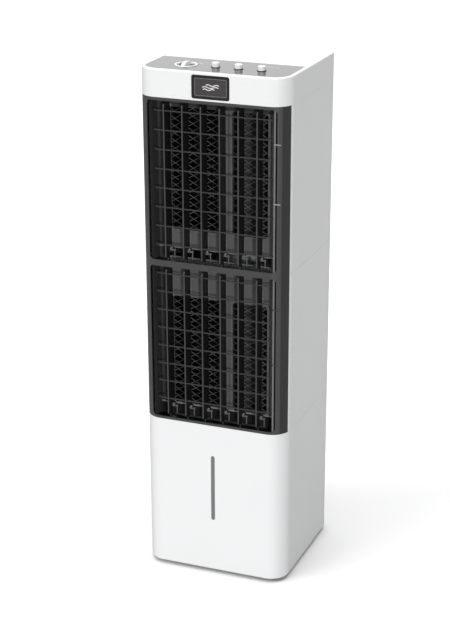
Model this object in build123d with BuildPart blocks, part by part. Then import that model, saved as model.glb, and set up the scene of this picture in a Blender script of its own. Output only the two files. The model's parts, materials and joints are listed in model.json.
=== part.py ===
from build123d import *
import os
from math import cos, radians, sin

# Household tower evaporative cooler, in millimetres.
# The origin is the middle of its footprint on the floor, +Z is up, the air outlet faces -Y.
# Bottom to top: feet, base with the water tank drawer, lower and upper housing with one
# blower wheel each, and the top cover with the controls.
# Each blower scroll blows through the left mouth of its outlet section.

# ---------------------------------------------------------------- driving dimensions
body_width = 290.0
body_depth = 291.0
body_top = 998.0
corner_front = 36.5
corner_back = 40.5
wall = 2.6
seam_gap = 0.4
top_seam_gap = 0.2

foot_height = 8.0
seam_low = 318.5
seam_mid = 633.0
seam_top = 947.0

front_y = -body_depth / 2
back_y = body_depth / 2
half_width = body_width / 2

front_plane = Plane.XZ.offset(-front_y)

# base and water tank drawer
base_top = seam_low - seam_gap / 2
base_floor = 3.0
base_edge_radius = 2.0
drawer_half = 103.0
drawer_gap = 0.7
drawer_low = 14.0
drawer_high = 300.0
tank_half = 99.0
tank_front = -118.0
tank_wall = 2.2
tank_panel = 5.0
runner_x = 70.0
runner_width = 6.0
window_width = 8.0
window_height = 138.0
window_mid = 186.0
post_radius = 6.0
post_spots = ((124.0, -92.0), (-124.0, -92.0), (121.0, 114.0), (-121.0, 114.0))

# feet
foot_radius = 12.0
foot_spots = ((117.0, -118.0), (-117.0, -118.0), (115.0, 116.0), (-115.0, 116.0))
foot_spigot = 2.9

# grille frame and air outlet
grille_end_y = -119.3
grille_wall = 2.6
outlet_half = 125.5
lower_frame_opening = (323.5, 628.8)
upper_frame_opening = (640.5, 941.5)
duct_half = 122.0
duct_inner_half = 119.0
duct_back = -108.5
duct_plate = 2.0
duct_low = 308.0
duct_high = 945.0
shelf_low = 624.5
shelf_high = 628.0
shelf_front = -133.0
duct_wall = 3.0
mouth_left = (-93.5, 16.0)
mouth_right = (29.0, 98.0)
lower_mouth = (344.0, 562.0)
upper_mouth = (694.0, 925.0)
lip_width = 5.0
lip_height = 2.0
service_slot_x = (-100.0, 105.0)
service_slot_z = (640.0, 657.0)

plate_front = duct_back - duct_plate
lower_section = (duct_low + duct_wall, shelf_low)
upper_section = (shelf_high, duct_high - duct_wall)

# fixed guard of upright fins threaded on thin bars
fin_pitch = 36.1
fin_middle = -2.7
fin_count = 6
fin_thickness = 2.6
fin_front = -142.0
fin_back = -125.0
fin_tab_front = -131.0
fin_corner = 7.0
fin_fit = 0.05
lower_fin_face = (325.0, 623.3)
upper_fin_face = (642.0, 936.5)
bar_thickness = 2.0
bar_y = (-141.1, -138.1)
bar_leg_end = -125.0
bar_half = 118.9
bar_corner = 14.0
bar_pitch = 36.1
upper_top_bar = 922.4
lower_top_bar = 613.4
bars_per_section = 8

# swinging vanes, heights measured from the floor of their section
vane_axis_y = -117.0
vane_y = (-124.4, -112.9)
vane_thickness = 1.8
spindle = 1.9
spindle_collar = 3.0
pin_clearance = 0.08
end_play = 0.3
rail_z = (29.5, 32.5)
rail_front = -113.5
lug_front = -120.5
lug_width = 9.0
snap_slot = 3.3
arm_z = (24.5, 27.5)
arm_width = 4.4
crank_reach = 7.4
crank_pin = 1.2
pin_bottom = 6.9
rod_z = (7.5, 10.5)
rod_width = 4.0
rod_end = 5.0
blade_gap_low = 33.5
blade_gap_high = 4.0
spindle_overlap = 6.0
leader = 3

# blowers
blower_x = 20.0
blower_y = -14.0
wheel_radius = 72.0
wheel_inner = 58.0
blade_count = 32
shaft_radius = 4.0
inlet_radius = 56.0
scroll_start = 80.0
scroll_growth = 41.0
scroll_sheet = 2.0
scroll_left = -101.0
motor_radius = 46.0
motor_z = (597.0, 659.0)
bracket_z = 620.0
bracket_thickness = 2.5

# intake at the rear
intake_half = 104.0
intake_low = 337.0
intake_high = 935.0
door_gap = 0.6
pad_half = 94.6
pad_y = (106.0, 132.0)
pad_z = (345.0, 921.0)
pad_frame_wall = 2.2

# pump and hose
pump_x = 70.0
pump_y = 90.0
pump_radius = 21.0
pump_z = (24.0, 84.0)
hose_radius = 5.5
hose_top = 934.0

# control panel and top cover
panel_rim = 7.0
panel_back_y = -32.0
panel_thickness = 2.6
panel_top = body_top - 0.2
panel_gap = 0.25
cover_top = 6.0
cover_edge_radius = 2.5
badge_width = 72.5
badge_height = 42.5
badge_mid = 971.8
badge_depth = 1.8
control_y = -92.0
knob_x = -68.4
knob_radius = 21.6
knob_hole = 22.3
knob_ring_inner = 17.6
knob_bar_width = 7.5
button_spots = (-11.0, 33.0, 77.0)
button_radius = 7.2
button_height = 8.2
button_travel = 4.0
collar_outer = 8.6
collar_inner = 7.6
switch_plate_z = 984.0
switch_plate_thickness = 2.0


# ---------------------------------------------------------------- shared profiles
def outline(inset=0.0):
    """Plan of the body, drawn this far inside its outer face."""
    with BuildSketch() as plan:
        Rectangle(body_width - 2 * inset, body_depth - 2 * inset)
        fillet(plan.vertices().group_by(Axis.Y)[-1], corner_back - inset)
        fillet(plan.vertices().group_by(Axis.Y)[0], corner_front - inset)
    return plan.sketch


def outline_between(inset, y_low, y_high, x_half=half_width):
    """The part of the plan that lies between two values of y."""
    with BuildSketch() as plan:
        add(outline(inset))
        with Locations((0, (y_low + y_high) / 2)):
            Rectangle(2 * x_half, y_high - y_low, mode=Mode.INTERSECT)
    return plan.sketch


def at_height(points, z):
    """The same plan points at one height."""
    return [(x, y, z) for x, y in points]


def fin_x(index):
    return fin_middle + (index - (fin_count - 1) / 2) * fin_pitch


def mid(limits):
    return (limits[0] + limits[1]) / 2


def span(limits):
    return limits[1] - limits[0]


# ---------------------------------------------------------------- base, feet and window
with BuildPart() as base_casing:
    with BuildSketch(Plane.XY.offset(foot_height)):
        add(outline())
    extrude(amount=base_top - foot_height)
    fillet(base_casing.edges().group_by(Axis.Z)[0], base_edge_radius)
    with BuildSketch(Plane.XY.offset(foot_height + base_floor)):
        add(outline(wall))
    extrude(amount=base_top, mode=Mode.SUBTRACT)
    with Locations(*at_height(post_spots, foot_height)):
        Cylinder(post_radius, base_top - foot_height, align=(Align.CENTER, Align.CENTER, Align.MIN))
    with Locations(*at_height(post_spots, base_top)):
        Cylinder(1.6, 24, mode=Mode.SUBTRACT)
    with Locations((drawer_half + 1.9, 0, foot_height), (-drawer_half - 1.9, 0, foot_height)):
        Box(2.0, 240, 24, align=(Align.CENTER, Align.CENTER, Align.MIN))
    bay_mid = (drawer_low + drawer_high) / 2
    with Locations((0, back_y, bay_mid)):
        Box(2 * (drawer_half + drawer_gap), 20, drawer_high - drawer_low + 2 * drawer_gap,
            mode=Mode.SUBTRACT)
    for x in (-runner_x, runner_x):
        with Locations((x, back_y, foot_height + base_floor)):
            Box(runner_width + 2, 4 * wall, drawer_low - foot_height - base_floor,
                align=(Align.CENTER, Align.CENTER, Align.MIN), mode=Mode.SUBTRACT)
    with BuildSketch(front_plane):
        with Locations((0, window_mid)):
            SlotOverall(window_height, window_width, rotation=90)
    extrude(amount=-2 * wall, mode=Mode.SUBTRACT)
    with Locations(*at_height(foot_spots, foot_height)):
        Cylinder(foot_spigot + 0.1, 4 * base_floor, mode=Mode.SUBTRACT)

with BuildPart() as feet:
    with Locations(*at_height(foot_spots, 0)):
        Cylinder(foot_radius, foot_height, align=(Align.CENTER, Align.CENTER, Align.MIN))
    fillet(feet.edges().group_by(Axis.Z)[0], 1.5)
    with Locations(*at_height(foot_spots, foot_height)):
        Cylinder(foot_spigot, base_floor + 1, align=(Align.CENTER, Align.CENTER, Align.MIN))

with BuildPart() as tank_window:
    with BuildSketch(front_plane.offset(-0.3)):
        with Locations((0, window_mid)):
            SlotOverall(window_height - 0.3, window_width - 0.3, rotation=90)
    extrude(amount=-(wall - 0.3))
    fillet(tank_window.faces().sort_by(Axis.Y)[0].edges(), 0.5)
    with BuildSketch(front_plane.offset(-wall)):
        with Locations((0, window_mid)):
            SlotOverall(window_height + 10, window_width + 8, rotation=90)
    extrude(amount=-1.6)

# ---------------------------------------------------------------- water tank drawer
tank_back = back_y - tank_panel
drain_spot = (-72.0, 34.0)
drain_radius = 7.0
grip_width = 96.0
grip_height = 28.0
grip_mid = 262.0
grip_depth = 20.0
float_size = (11.0, 5.0, 12.0)
float_low = 112.0

with BuildPart() as water_tank:
    with Locations((0, (tank_front + tank_back) / 2, drawer_low)):
        Box(2 * tank_half, tank_back - tank_front, drawer_high - drawer_low,
            align=(Align.CENTER, Align.CENTER, Align.MIN))
    fillet(water_tank.edges().filter_by(Axis.Z), 10)
    cavity_back = tank_back - tank_wall
    cavity_front = tank_front + tank_wall
    with BuildSketch(Plane.XY.offset(drawer_low + tank_wall)):
        with Locations((0, (cavity_front + cavity_back) / 2)):
            RectangleRounded(2 * (tank_half - tank_wall), cavity_back - cavity_front, 8)
    extrude(amount=drawer_high, mode=Mode.SUBTRACT)
    with Locations((0, back_y - tank_panel / 2, drawer_low)):
        Box(2 * drawer_half, tank_panel, drawer_high - drawer_low,
            align=(Align.CENTER, Align.CENTER, Align.MIN))
    with Locations((runner_x, 0, drawer_low), (-runner_x, 0, drawer_low)):
        Box(runner_width, 220, drawer_low - foot_height - base_floor - 0.3,
            align=(Align.CENTER, Align.CENTER, Align.MAX))
    with Locations((0, tank_back - grip_depth / 2, grip_mid)):
        Box(grip_width + 5, grip_depth, grip_height + 5)
    with Locations((drain_spot[0], tank_back - 8, drain_spot[1])):
        Box(40, 16, 36)
    with BuildSketch(Plane.XZ.offset(-back_y)):
        with Locations((0, grip_mid)):
            RectangleRounded(grip_width, grip_height, 8)
    extrude(amount=grip_depth + tank_panel - 2.5, mode=Mode.SUBTRACT)
    with Locations(Location((drain_spot[0], back_y, drain_spot[1]), (90, 0, 0))):
        Cylinder(drain_radius, 60, mode=Mode.SUBTRACT)
        Cylinder(14, 16, mode=Mode.SUBTRACT)
    for side in (-1, 1):
        with Locations((side * (float_size[0] / 2 + 1.5), cavity_front + 3, 190)):
            Box(2, 6, 180)
    with Locations((0, cavity_front + 3, float_low - 2.3)):
        Box(2 * (float_size[0] / 2 + 2.5), 6, 4)

with BuildPart() as level_float:
    with Locations((0, cavity_front + 0.4 + float_size[1] / 2, float_low)):
        Box(*float_size, align=(Align.CENTER, Align.CENTER, Align.MIN))
    fillet(level_float.edges().filter_by(Axis.X), 1.2)

with BuildPart() as drain_plug:
    with BuildSketch(Plane.XZ.offset(-(back_y - 7.6))):
        with Locations(drain_spot):
            Circle(10.5)
    extrude(amount=-3.2)
    with BuildSketch(Plane.XZ.offset(-(back_y - 7.6))):
        with Locations(drain_spot):
            Circle(drain_radius - 0.08)
    extrude(amount=13)
    with BuildSketch(Plane.XZ.offset(-(back_y - 4.4))):
        with Locations(drain_spot):
            SlotOverall(17, 4)
    extrude(amount=-3.4)

# ---------------------------------------------------------------- housings
deck_thickness = 2.6
deck_front = -104.0
hose_hole = 7.0
cord_spot = (-86.0, 328.6)
cord_gland_radius = 6.0


def open_ring(outer, inner, front_edge):
    """Plan of a wall that follows the body's sides and rear, open at the front."""
    with BuildSketch() as plan:
        add(outline(outer))
        add(outline(inner), mode=Mode.SUBTRACT)
        with Locations((0, front_y)):
            Rectangle(body_width + 2, 2 * (front_edge - front_y), mode=Mode.SUBTRACT)
    return plan.sketch


def intake_cut():
    """The opening for the rear grille, cut through both housings."""
    with Locations((0, back_y, (intake_low + intake_high) / 2)):
        Box(2 * intake_half, 20, intake_high - intake_low, mode=Mode.SUBTRACT)


lower_bottom = seam_low + seam_gap / 2
with BuildPart() as lower_housing:
    with BuildSketch(Plane.XY.offset(lower_bottom)):
        add(open_ring(0, wall, grille_end_y))
    extrude(amount=seam_mid - seam_gap / 2 - lower_bottom)
    with BuildSketch(Plane.XY.offset(lower_bottom)):
        add(outline_between(wall / 2, deck_front, back_y))
    extrude(amount=deck_thickness)
    intake_cut()
    with Locations((pump_x, pump_y, lower_bottom)):
        Cylinder(hose_hole, 20, mode=Mode.SUBTRACT)
    with Locations((0, 119, lower_bottom)):
        with GridLocations(38, 0, 4, 1):
            Box(26, 7, 20, mode=Mode.SUBTRACT)
    with Locations(*at_height(post_spots, lower_bottom)):
        Cylinder(2.2, 20, mode=Mode.SUBTRACT)
    with Locations(Location((cord_spot[0], back_y, cord_spot[1]), (90, 0, 0))):
        Cylinder(cord_gland_radius, 20, mode=Mode.SUBTRACT)

upper_bottom = seam_mid + seam_gap / 2
skirt = 6.0
with BuildPart() as upper_housing:
    with BuildSketch(Plane.XY.offset(upper_bottom)):
        add(open_ring(0, wall, grille_end_y))
    extrude(amount=seam_top - top_seam_gap / 2 - upper_bottom)
    with BuildSketch(Plane.XY.offset(seam_mid - skirt)):
        add(open_ring(wall + 0.3, wall + 2.3, grille_end_y + 3))
    extrude(amount=skirt + seam_gap / 2)
    with BuildSketch(Plane.XY.offset(upper_bottom)):
        add(open_ring(wall - 0.5, wall + 2.3, grille_end_y + 3))
    extrude(amount=3)
    intake_cut()
    with Locations((0, back_y - wall, seam_mid - 3)):
        Box(2 * intake_half, 8, 8, mode=Mode.SUBTRACT)

with BuildPart() as cord_gland:
    with Locations(Location((cord_spot[0], back_y - 4.2, cord_spot[1]), (90, 0, 0))):
        Cylinder(cord_gland_radius - 0.1, 7.6)
        Cylinder(3.2, 12, mode=Mode.SUBTRACT)

# ---------------------------------------------------------------- top cover and badge
with BuildPart() as top_cover:
    cover_low = seam_top + top_seam_gap / 2
    with BuildSketch(Plane.XY.offset(cover_low)):
        add(outline())
    extrude(amount=body_top - cover_low)
    fillet(top_cover.edges().group_by(Axis.Z)[-1], cover_edge_radius)
    with BuildSketch(Plane.XY.offset(cover_low)):
        add(outline(wall))
    extrude(amount=body_top - cover_top - cover_low, mode=Mode.SUBTRACT)
    with Locations((0, front_y + wall / 2 + 2, badge_mid)):
        Box(badge_width + 8, wall, badge_height + 4)
    with BuildSketch(Plane.XY.offset(panel_top - panel_thickness)):
        add(outline_between(panel_rim - panel_gap, front_y, panel_back_y + panel_gap))
    extrude(amount=10, mode=Mode.SUBTRACT)
    with BuildSketch(Plane.XY.offset(body_top - cover_top)):
        add(outline_between(panel_rim + 5, front_y, panel_back_y - 5))
    extrude(amount=10, mode=Mode.SUBTRACT)
    with BuildSketch(front_plane):
        with Locations((0, badge_mid)):
            RectangleRounded(badge_width + 0.6, badge_height + 0.6, 4.3)
    extrude(amount=-badge_depth, mode=Mode.SUBTRACT)

badge_border = 5.0
badge_window_radius = 2.0
with BuildPart() as badge_frame:
    with BuildSketch(front_plane.offset(-badge_depth)):
        with Locations((0, badge_mid)):
            RectangleRounded(badge_width, badge_height, 4)
            RectangleRounded(badge_width - 2 * badge_border, badge_height - 2 * badge_border,
                             badge_window_radius, mode=Mode.SUBTRACT)
    extrude(amount=badge_depth - 0.1)
    chamfer(badge_frame.faces().sort_by(Axis.Y)[0].edges(), 0.5)

with BuildPart() as badge_plate:
    with BuildSketch(front_plane.offset(-badge_depth)):
        with Locations((0, badge_mid)):
            RectangleRounded(badge_width - 2 * badge_border - 0.3,
                             badge_height - 2 * badge_border - 0.3, badge_window_radius)
    extrude(amount=0.9)

# ---------------------------------------------------------------- control panel
panel_under = panel_top - panel_thickness
knob_spot = (knob_x, control_y)
button_points = [(x, control_y) for x in button_spots]

with BuildPart() as control_panel:
    with BuildSketch(Plane.XY.offset(panel_under)):
        add(outline_between(panel_rim, front_y, panel_back_y))
        with Locations(knob_spot):
            Circle(knob_hole, mode=Mode.SUBTRACT)
        with Locations(*button_points):
            Circle(collar_outer + 0.1, mode=Mode.SUBTRACT)
    extrude(amount=panel_thickness)
    chamfer(control_panel.faces().sort_by(Axis.Z)[-1].outer_wire().edges(), 0.3)

with BuildPart() as switch_plate:
    with BuildSketch(Plane.XY.offset(switch_plate_z)):
        with Locations((4, control_y)):
            RectangleRounded(200, 46, 5)
        with Locations(knob_spot):
            Circle(5.2, mode=Mode.SUBTRACT)
        with Locations(*button_points):
            Circle(3.2, mode=Mode.SUBTRACT)
    extrude(amount=switch_plate_thickness)
    standoffs = [(x, y) for x in (-93, 11, 101) for y in (control_y - 19, control_y + 19)]
    with Locations(*at_height(standoffs, switch_plate_z + switch_plate_thickness)):
        Cylinder(2.8, panel_under - switch_plate_z - switch_plate_thickness,
                 align=(Align.CENTER, Align.CENTER, Align.MIN))

with BuildPart() as speed_switch:
    with Locations((knob_x, control_y, switch_plate_z)):
        Box(34, 30, 20, align=(Align.CENTER, Align.CENTER, Align.MAX))
        Cylinder(5.0, 5, align=(Align.CENTER, Align.CENTER, Align.MIN))
        Cylinder(3.06, 36, mode=Mode.SUBTRACT)
    with Locations((knob_x, control_y, switch_plate_z - 20)):
        with GridLocations(9, 10, 3, 2):
            Box(0.8, 5, 8, align=(Align.CENTER, Align.CENTER, Align.MAX))

knob_floor = panel_under - 3.0
bar_low = knob_floor + 2
bar_reach = 20.6
with BuildPart() as knob_bar:
    with BuildSketch(Plane.YZ.offset(knob_x - knob_bar_width / 2)):
        with BuildLine():
            Line((control_y - bar_reach, bar_low), (control_y + bar_reach, bar_low))
            Line((control_y + bar_reach, bar_low), (control_y + bar_reach, body_top))
            ThreePointArc((control_y + bar_reach, body_top), (control_y, body_top + 6.4),
                          (control_y - bar_reach, body_top))
            Line((control_y - bar_reach, body_top), (control_y - bar_reach, bar_low))
        make_face()
    extrude(amount=knob_bar_width)
    fillet(knob_bar.edges().filter_by(GeomType.CIRCLE), 1.6)

with BuildPart() as speed_knob:
    with BuildSketch(Plane.XY.offset(knob_floor)):
        with Locations(knob_spot):
            Circle(knob_radius)
    extrude(amount=2.4)
    with BuildSketch(Plane.XY.offset(knob_floor)):
        with Locations(knob_spot):
            Circle(knob_radius)
            Circle(knob_ring_inner, mode=Mode.SUBTRACT)
    extrude(amount=body_top + 1.2 - knob_floor)
    fillet(speed_knob.faces().sort_by(Axis.Z)[-1].edges(), 1.0)
    add(knob_bar.part)
    with BuildSketch(Plane.XY.offset(switch_plate_z - 16)):
        with Locations(knob_spot):
            Circle(3.0)
    extrude(amount=knob_floor + 1 - switch_plate_z + 16)

with BuildPart() as knob_dish:
    with BuildSketch(Plane.XY.offset(knob_floor + 2.4)):
        with Locations(knob_spot):
            Circle(knob_ring_inner - 0.1)
            Rectangle(knob_bar_width + 0.2, 40, mode=Mode.SUBTRACT)
    extrude(amount=0.8)


def make_button(x):
    """One push button: its cap, and the stem that works the switch below."""
    cap_low = switch_plate_z + switch_plate_thickness + button_travel + 2
    with BuildPart() as button:
        with BuildSketch(Plane.XY.offset(cap_low)):
            with Locations((x, control_y)):
                Circle(button_radius)
        extrude(amount=body_top + button_height - cap_low)
        fillet(button.edges().group_by(Axis.Z)[-1], 0.9)
        with BuildSketch(Plane.XY.offset(switch_plate_z - 4)):
            with Locations((x, control_y)):
                Circle(2.5)
        extrude(amount=cap_low + 1 - switch_plate_z + 4)
    return button


cool_button, swing_button, timer_button = [make_button(x) for x in button_spots]

with BuildPart() as button_collars:
    with BuildSketch(Plane.XY.offset(panel_under)):
        with Locations(*button_points):
            Circle(collar_outer)
            Circle(collar_inner, mode=Mode.SUBTRACT)
    extrude(amount=body_top + 0.9 - panel_under)
    fillet(button_collars.faces().group_by(Axis.Z)[-1].edges(), 0.3)

with BuildPart() as push_switches:
    with Locations(*at_height(button_points, switch_plate_z)):
        Box(13, 13, 15, align=(Align.CENTER, Align.CENTER, Align.MAX))
        Cylinder(2.9, 24, mode=Mode.SUBTRACT)
    with Locations(*at_height(button_points, switch_plate_z - 15)):
        with GridLocations(6, 0, 2, 1):
            Box(0.8, 4, 6, align=(Align.CENTER, Align.CENTER, Align.MAX))

# ---------------------------------------------------------------- grille frame and outlet duct
frame_low = seam_low + seam_gap / 2
frame_high = seam_top - top_seam_gap / 2
facet_start = (132.0, -137.4)
facet_end = (141.2, -125.6)

with BuildPart() as grille_frame:
    with BuildSketch(Plane.XY.offset(frame_low)):
        add(outline_between(0, front_y, grille_end_y))
        add(outline_between(grille_wall, front_y, grille_end_y), mode=Mode.SUBTRACT)
    extrude(amount=frame_high - frame_low)
    with BuildSketch(Plane.XY.offset(frame_low)):
        for side in (-1, 1):
            with BuildLine():
                Polyline((side * facet_start[0], facet_start[1]), (side * facet_end[0], facet_end[1]),
                         (side * 150, facet_end[1]), (side * 150, -150), (side * facet_start[0], -150),
                         close=True)
            make_face()
    extrude(amount=frame_high - frame_low, mode=Mode.SUBTRACT)
    for low, high in (lower_frame_opening, upper_frame_opening):
        with BuildSketch(front_plane.offset(1)):
            with Locations((0, (low + high) / 2)):
                RectangleRounded(2 * outlet_half, high - low, 8)
        extrude(amount=-20, mode=Mode.SUBTRACT)

fin_points = [(fin_x(index), vane_axis_y) for index in range(fin_count)]

with BuildPart() as outlet_duct:
    duct_front = front_y + grille_wall + 0.3
    with BuildSketch(Plane.XY.offset(duct_low)):
        add(outline_between(grille_wall + 0.3, duct_front, duct_back, duct_half))
    extrude(amount=duct_high - duct_low)
    for section in (lower_section, upper_section):
        with Locations((0, plate_front, mid(section))):
            Box(2 * duct_inner_half, plate_front - front_y, span(section),
                align=(Align.CENTER, Align.MAX, Align.CENTER), mode=Mode.SUBTRACT)
    with Locations((0, shelf_front, (shelf_low + shelf_high) / 2)):
        Box(2 * duct_inner_half, shelf_front - front_y, 2 * (shelf_high - shelf_low),
            align=(Align.CENTER, Align.MAX, Align.CENTER), mode=Mode.SUBTRACT)
    for mouth_z in (lower_mouth, upper_mouth):
        for mouth_x in (mouth_left, mouth_right):
            with BuildSketch(Plane.XZ.offset(-plate_front)):
                with Locations((mid(mouth_x), mid(mouth_z))):
                    RectangleRounded(span(mouth_x) + 2 * lip_width, span(mouth_z) + 2 * lip_width, 9)
            extrude(amount=lip_height)
    for section in (lower_section, upper_section):
        rail_bottom = section[0] + rail_z[0]
        with Locations((0, plate_front, rail_bottom)):
            Box(2 * duct_inner_half, plate_front - rail_front, span(rail_z),
                align=(Align.CENTER, Align.MAX, Align.MIN))
        with Locations(*[(x, plate_front, rail_bottom) for x, y in fin_points]):
            Box(lug_width, plate_front - lug_front, span(rail_z),
                align=(Align.CENTER, Align.MAX, Align.MIN))
        with Locations(*at_height(fin_points, rail_bottom)):
            Cylinder(spindle + pin_clearance, span(rail_z),
                     align=(Align.CENTER, Align.CENTER, Align.MIN), mode=Mode.SUBTRACT)
            Box(snap_slot, vane_axis_y - lug_front, span(rail_z),
                align=(Align.CENTER, Align.MAX, Align.MIN), mode=Mode.SUBTRACT)
        with Locations(*at_height(fin_points, section[1])):
            Cylinder(spindle + pin_clearance, 2 * duct_wall + 2, mode=Mode.SUBTRACT)
    for mouth_z in (lower_mouth, upper_mouth):
        for mouth_x in (mouth_left, mouth_right):
            with BuildSketch(Plane.XZ.offset(-duct_back)):
                with Locations((mid(mouth_x), mid(mouth_z))):
                    RectangleRounded(span(mouth_x), span(mouth_z), 5)
            extrude(amount=duct_plate + lip_height, mode=Mode.SUBTRACT)
    with Locations((mid(service_slot_x), duct_back, mid(service_slot_z))):
        Box(span(service_slot_x), 2 * duct_plate, span(service_slot_z), mode=Mode.SUBTRACT)

# ---------------------------------------------------------------- guard of fins and bars
def bar_heights(top_bar):
    return [top_bar - index * bar_pitch for index in range(bars_per_section)]


with BuildPart() as guard_fins:
    for section, face, top_bar in ((lower_section, lower_fin_face, lower_top_bar),
                                   (upper_section, upper_fin_face, upper_top_bar)):
        foot = section[0] + fin_fit
        head = section[1] - fin_fit
        for index in range(fin_count):
            with BuildSketch(Plane.YZ.offset(fin_x(index) - fin_thickness / 2)) as side_view:
                with BuildLine():
                    Polyline((fin_front, face[0]), (fin_front, face[1]), (fin_tab_front, face[1]),
                             (fin_tab_front, head), (fin_back, head), (fin_back, foot),
                             (fin_tab_front, foot), (fin_tab_front, face[0]), close=True)
                make_face()
                fillet(side_view.vertices().group_by(Axis.X)[0], fin_corner)
                with Locations(*[(mid(bar_y), z) for z in bar_heights(top_bar)]):
                    Rectangle(span(bar_y) + 2 * fin_fit, bar_thickness + 2 * fin_fit,
                              mode=Mode.SUBTRACT)
            extrude(amount=fin_thickness)

with BuildPart() as guard_bars:
    inner = bar_half - span(bar_y)
    for z in bar_heights(lower_top_bar) + bar_heights(upper_top_bar):
        with BuildSketch(Plane.XY.offset(z - bar_thickness / 2)):
            with BuildLine():
                FilletPolyline((-bar_half, bar_leg_end), (-bar_half, bar_y[0]),
                               (bar_half, bar_y[0]), (bar_half, bar_leg_end), radius=bar_corner)
                Line((bar_half, bar_leg_end), (inner, bar_leg_end))
                FilletPolyline((inner, bar_leg_end), (inner, bar_y[1]), (-inner, bar_y[1]),
                               (-inner, bar_leg_end), radius=bar_corner - span(bar_y))
                Line((-inner, bar_leg_end), (-bar_half, bar_leg_end))
            make_face()
        extrude(amount=bar_thickness)

# ---------------------------------------------------------------- lattice guards
lattice_y = (-106.4, -105.4)
diamond_width = 24.0
diamond_height = 13.85
diamond_open = 0.925
first_diamond = (-38.4, 894.3)
lattice_rim = 1.5
standoff_height = 6.0
standoff_inset = 10.0


def nearest_cell(value, first, pitch):
    """The cell centre closest to a value, for cells spaced by a pitch from the first one."""
    return first + pitch * round((value - first) / pitch)


def make_lattice(mouth_z):
    """Diamond mesh behind the two mouths of one section, on short standoffs."""
    middle_z = mid(mouth_z)
    cell_z = nearest_cell(middle_z, first_diamond[1], diamond_height)
    rows = int(span(mouth_z) / diamond_height) + 3
    half = (diamond_width / 2 * diamond_open, diamond_height / 2 * diamond_open)
    with BuildPart() as lattice:
        for mouth_x in (mouth_left, mouth_right):
            middle_x = mid(mouth_x)
            cell_x = nearest_cell(middle_x, first_diamond[0], diamond_width)
            columns = int(span(mouth_x) / diamond_width) + 3
            size = (span(mouth_x) + 2 * lattice_rim, span(mouth_z) + 2 * lattice_rim)
            with BuildSketch(Plane.XZ.offset(-lattice_y[1])):
                with Locations((middle_x, middle_z)):
                    Rectangle(size[0] - lattice_rim, size[1] - lattice_rim)
                for shift in (0, 0.5):
                    spot = (cell_x + shift * diamond_width, cell_z + shift * diamond_height)
                    with Locations(spot):
                        with GridLocations(diamond_width, diamond_height, columns, rows):
                            Polygon((half[0], 0), (0, half[1]), (-half[0], 0), (0, -half[1]),
                                    mode=Mode.SUBTRACT)
            extrude(amount=span(lattice_y))
            with BuildSketch(Plane.XZ.offset(-lattice_y[1])):
                with Locations((middle_x, middle_z)):
                    Rectangle(*size)
                    Rectangle(size[0] - 2 * lattice_rim, size[1] - 2 * lattice_rim,
                              mode=Mode.SUBTRACT)
            extrude(amount=span(lattice_y))
            for x in (mouth_x[0] - lattice_rim / 2, mouth_x[1] + lattice_rim / 2):
                for z in (mouth_z[0] + standoff_inset, middle_z, mouth_z[1] - standoff_inset):
                    with Locations((x, duct_back, z)):
                        Box(lattice_rim, lattice_y[1] - duct_back, standoff_height,
                            align=(Align.CENTER, Align.MIN, Align.CENTER))
    return lattice


upper_lattice = make_lattice(upper_mouth)
lower_lattice = make_lattice(lower_mouth)

# ---------------------------------------------------------------- swinging vanes
def make_vane(index, section, top_end, pin_end):
    """One upright vane, its spindles, and under its lower bearing the crank for the link rod."""
    low, high = section
    x = fin_x(index)
    blade_low = low + blade_gap_low
    blade_high = high - blade_gap_high
    with BuildPart() as vane:
        with BuildSketch(Plane.XY.offset(blade_low)):
            with Locations((x, mid(vane_y))):
                SlotOverall(span(vane_y), vane_thickness, rotation=90)
        extrude(amount=blade_high - blade_low)
        with Locations((x, vane_axis_y, low + arm_z[0])):
            Cylinder(spindle, blade_gap_low - arm_z[0] + spindle_overlap,
                     align=(Align.CENTER, Align.CENTER, Align.MIN))
        for start, end in ((arm_z[1], rail_z[0] - end_play), (rail_z[1] + end_play, blade_gap_low)):
            with Locations((x, vane_axis_y, low + start)):
                Cylinder(spindle_collar, end - start, align=(Align.CENTER, Align.CENTER, Align.MIN))
        with Locations((x, vane_axis_y, blade_high - spindle_overlap)):
            Cylinder(spindle, top_end - blade_high + spindle_overlap,
                     align=(Align.CENTER, Align.CENTER, Align.MIN))
        with BuildSketch(Plane.XY.offset(low + arm_z[0])):
            with Locations((x + crank_reach / 2, vane_axis_y)):
                SlotCenterToCenter(crank_reach, arm_width)
        extrude(amount=span(arm_z))
        with Locations((x + crank_reach, vane_axis_y, pin_end)):
            Cylinder(crank_pin, low + arm_z[1] - pin_end,
                     align=(Align.CENTER, Align.CENTER, Align.MIN))
    return vane


def make_rod(section):
    """Flat rod that ties the crank pins of one section together."""
    rod_points = [(x + crank_reach, y) for x, y in fin_points]
    with BuildPart() as rod:
        with BuildSketch(Plane.XY.offset(section[0] + rod_z[0])):
            with Locations((fin_middle + crank_reach, vane_axis_y)):
                SlotOverall((fin_count - 1) * fin_pitch + 2 * rod_end, rod_width)
            with Locations(*rod_points):
                Circle(crank_pin + pin_clearance, mode=Mode.SUBTRACT)
        extrude(amount=span(rod_z))
    return rod


motor_shaft_top = duct_high + 11
coupler_z = (shelf_high + 1, shelf_high + 4)
pin_meeting = upper_section[0] + mid(rod_z)
pin_gap = 0.2
upper_vanes = []
lower_vanes = []
for number in range(fin_count):
    is_leader = number == leader
    upper_top = motor_shaft_top if is_leader else duct_high - 0.6
    upper_pin = pin_meeting + pin_gap / 2 if is_leader else upper_section[0] + pin_bottom
    lower_top = coupler_z[1] - 0.2 if is_leader else shelf_high - 0.4
    upper_vanes.append(make_vane(number, upper_section, upper_top, upper_pin))
    lower_vanes.append(make_vane(number, lower_section, lower_top, lower_section[0] + pin_bottom))

upper_link_rod = make_rod(upper_section)
lower_link_rod = make_rod(lower_section)

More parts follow.
